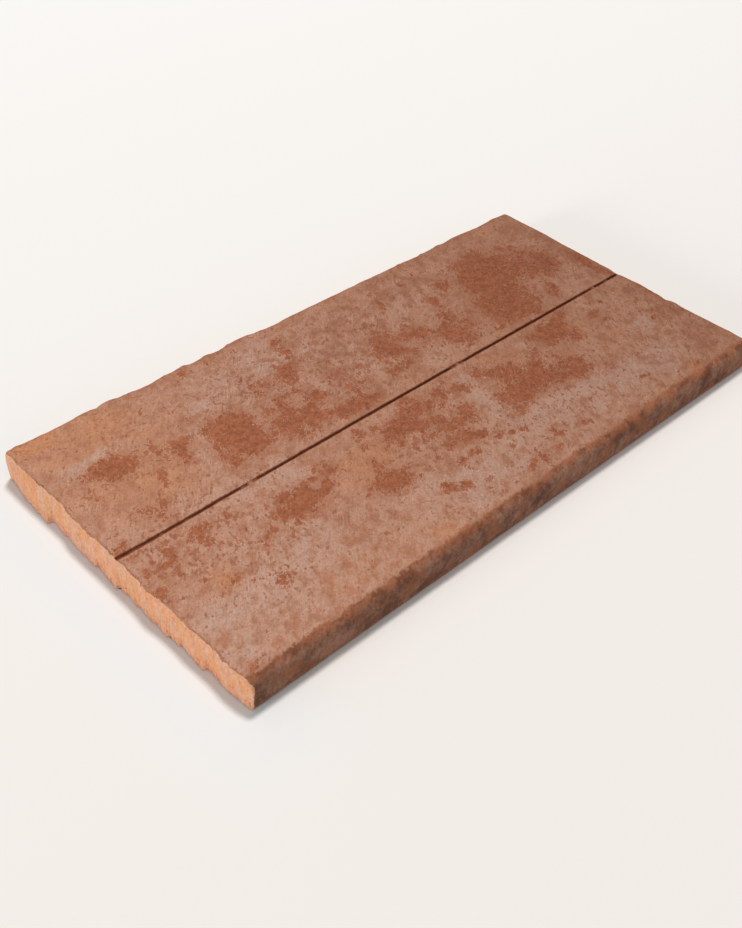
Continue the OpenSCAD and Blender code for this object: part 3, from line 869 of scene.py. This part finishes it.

    # The torn back, with a warm rim at its arris; the raw ends, the plain underside, and the groove,
    # painted dark as shade in it.
    back_depth = g.total((g.zone("back"), 1), (grain, 0.4), (blot, 0.4))
    torn = g.mix(g.step(face_tone, -1, 1), (154, 92, 64), (192, 136, 106))
    skin = g.tint(skin, back_depth, 3.5, 0.6, 0.55, (170, 100, 70))
    on_back = g.times(g.step(g.zone("height"), 21, 19.6), g.step(back_depth, 4.5, 2.5))
    skin = g.mix(on_back, skin, torn)
    colour = g.mix(cut, skin, raw)
    bed = g.mix(g.step(mottle, -1, 1), (180, 118, 86), (204, 152, 122))
    colour = g.mix(g.times(g.step(g.zone("height"), 0.9, 0.4), 0.85), colour, bed)
    # Painted shade: the groove is coloured dark brown, darker towards the right end, for the shade inside
    # it.
    groove_shade = g.mix(g.step(split.outputs["X"], -240, 120), (142, 79, 50), (120, 56, 26))
    groove_shade = g.shade(groove_shade, g.times(grain, 0.12))
    colour = g.mix(g.step(g.zone("groove"), 0.05, 0.7), colour, groove_shade)

    # Grain and strokes over all, a few pits darkened with painted shade, and fewer white grits.
    scored_lines = g.times(strokes, g.math("MULTIPLY_ADD", g.zone("scratched"), 1, 0.5))
    skin_lines = g.times(scored_lines, g.math("SUBTRACT", 1, cut))
    value = g.total((dust, 0.05), (fine, 0.085), (grain, 0.04), (skin_lines, 0.13))
    value = g.math("MULTIPLY_ADD", g.times(dragged, cut), 0.065, value)
    colour = g.shade(colour, value)
    pit_near, pit_kind = g.cells(at, 7)
    pit_edge = g.math("MULTIPLY_ADD", fine, 0.02, pit_near)
    pit = g.times(g.step(pit_edge, 0.13, 0.04), g.some(pit_kind, 0.45))
    # Painted shade darkens the pits.
    colour = g.mix(g.times(pit, 0.55), colour, (104, 62, 44))
    grit_near, grit_kind = g.cells(g.shifted(at, (13, 29, 3)), 16)
    grit = g.times(g.step(grit_near, 0.050, 0.022), g.some(grit_kind, 0.4))
    colour = g.mix(g.times(grit, 0.6), colour, (224, 198, 180))

    # Relief in mm.
    relief = g.total((dust, 0.012), (fine, 0.035), (grain, 0.050), (skin_lines, 0.090), (pit, -0.25))
    wire_marks = g.times(cut, g.total((grain, 0.5), (dragged, 0.8)))
    relief = g.math("MULTIPLY_ADD", wire_marks, 0.08, relief)
    bump = g.node("ShaderNodeBump", {"Strength": 1, "Distance": MM, "Height": relief})
    rough = g.math("ADD", g.total((grain, 0.02), (inside, -0.10)), 0.88)
    g.surface(colour, rough, 0.2, bump.outputs[0])
    return material


tile.data.materials.append(terracotta())

# ---- Floor and light, in metres ----
FLOOR_HALF = 30.0
FLOOR_GAP = 0.0002


def pale_floor():
    """A matt pale floor, a little paler towards the back."""
    material = bpy.data.materials.new("pale_floor")
    g = Graph(material)
    split = g.node("ShaderNodeSeparateXYZ", {0: g.node("ShaderNodeTexCoord").outputs["Object"]})
    fall = g.step(split.outputs["Y"], -0.55, 1)
    pale = g.mix(fall, (244, 237, 232), (253, 250, 247))
    # A cooler tint beside the left end takes back the warm light that the lit raw clay throws there.
    from_end = g.math("ABSOLUTE", g.math("ADD", split.outputs["X"], HALF_L * MM))
    off_middle = g.math("ABSOLUTE", split.outputs["Y"])
    beside = g.times(g.step(from_end, 0.065, 0.008), g.step(off_middle, 0.20, 0.09))
    g.surface(g.mix(beside, pale, (240, 241, 241)), 1, 0)
    return material


floor_mesh = bpy.data.meshes.new("floor")
CORNERS = [(-1, -1), (1, -1), (1, 1), (-1, 1)]
floor_corners = [(u * FLOOR_HALF, v * FLOOR_HALF, -FLOOR_GAP) for u, v in CORNERS]
floor_mesh.from_pydata(floor_corners, [], [(0, 1, 2, 3)])
floor_mesh.materials.append(pale_floor())
floor = bpy.data.objects.new("floor", floor_mesh)
bpy.context.scene.collection.objects.link(floor)

SKY_LEVEL, SKY_COLOUR = 0.405, (0.90, 0.97, 1.0, 1.0)
SUN_COLOUR = (1.0, 0.965, 0.935)
# Two soft suns: name, power, and in degrees the turn from +X towards +Y, the height and the softness.
# The low one rakes the near end from the left. The high one stands behind the tile, so that its shadow
# falls towards the camera.
SUNS = [("low_sun", 1.28, 177.0, 10.0, 14.0), ("high_sun", 1.85, 40.0, 68.0, 12.0)]

world = bpy.data.worlds.new("world")
bpy.context.scene.world = world
g = Graph(world)
rays = g.node("ShaderNodeLightPath").outputs
other_ray = g.math("MAXIMUM", rays["Is Glossy Ray"], rays["Is Transmission Ray"])
seen_ray = g.math("MAXIMUM", rays["Is Camera Ray"], other_ray)
lit = g.node("ShaderNodeBackground", {"Color": SKY_COLOUR, "Strength": SKY_LEVEL})
seen = g.node("ShaderNodeBackground", {"Color": linear(249, 246, 241), "Strength": 1.0})
choose = g.node("ShaderNodeMixShader", {0: seen_ray, 1: lit.outputs[0], 2: seen.outputs[0]})
g.node("ShaderNodeOutputWorld", {"Surface": choose.outputs[0]})

for name, power, around_z, above, softness in SUNS:
    sun_data = bpy.data.lights.new(name, "SUN")
    sun_data.energy = power
    sun_data.angle = math.radians(softness)
    sun_data.color = SUN_COLOUR
    sun = bpy.data.objects.new(name, sun_data)
    bpy.context.scene.collection.objects.link(sun)
    azimuth, elevation = math.radians(around_z), math.radians(above)
    level = math.cos(elevation)
    towards = Vector((math.cos(azimuth) * level, math.sin(azimuth) * level, math.sin(elevation)))
    sun.rotation_mode = "QUATERNION"
    sun.rotation_quaternion = towards.to_track_quat("Z", "Y")
    sun.location = towards * 2.0

bpy.context.scene.view_settings.view_transform = "Standard"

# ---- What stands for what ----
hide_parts("floor_tile")
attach(tile, "root")
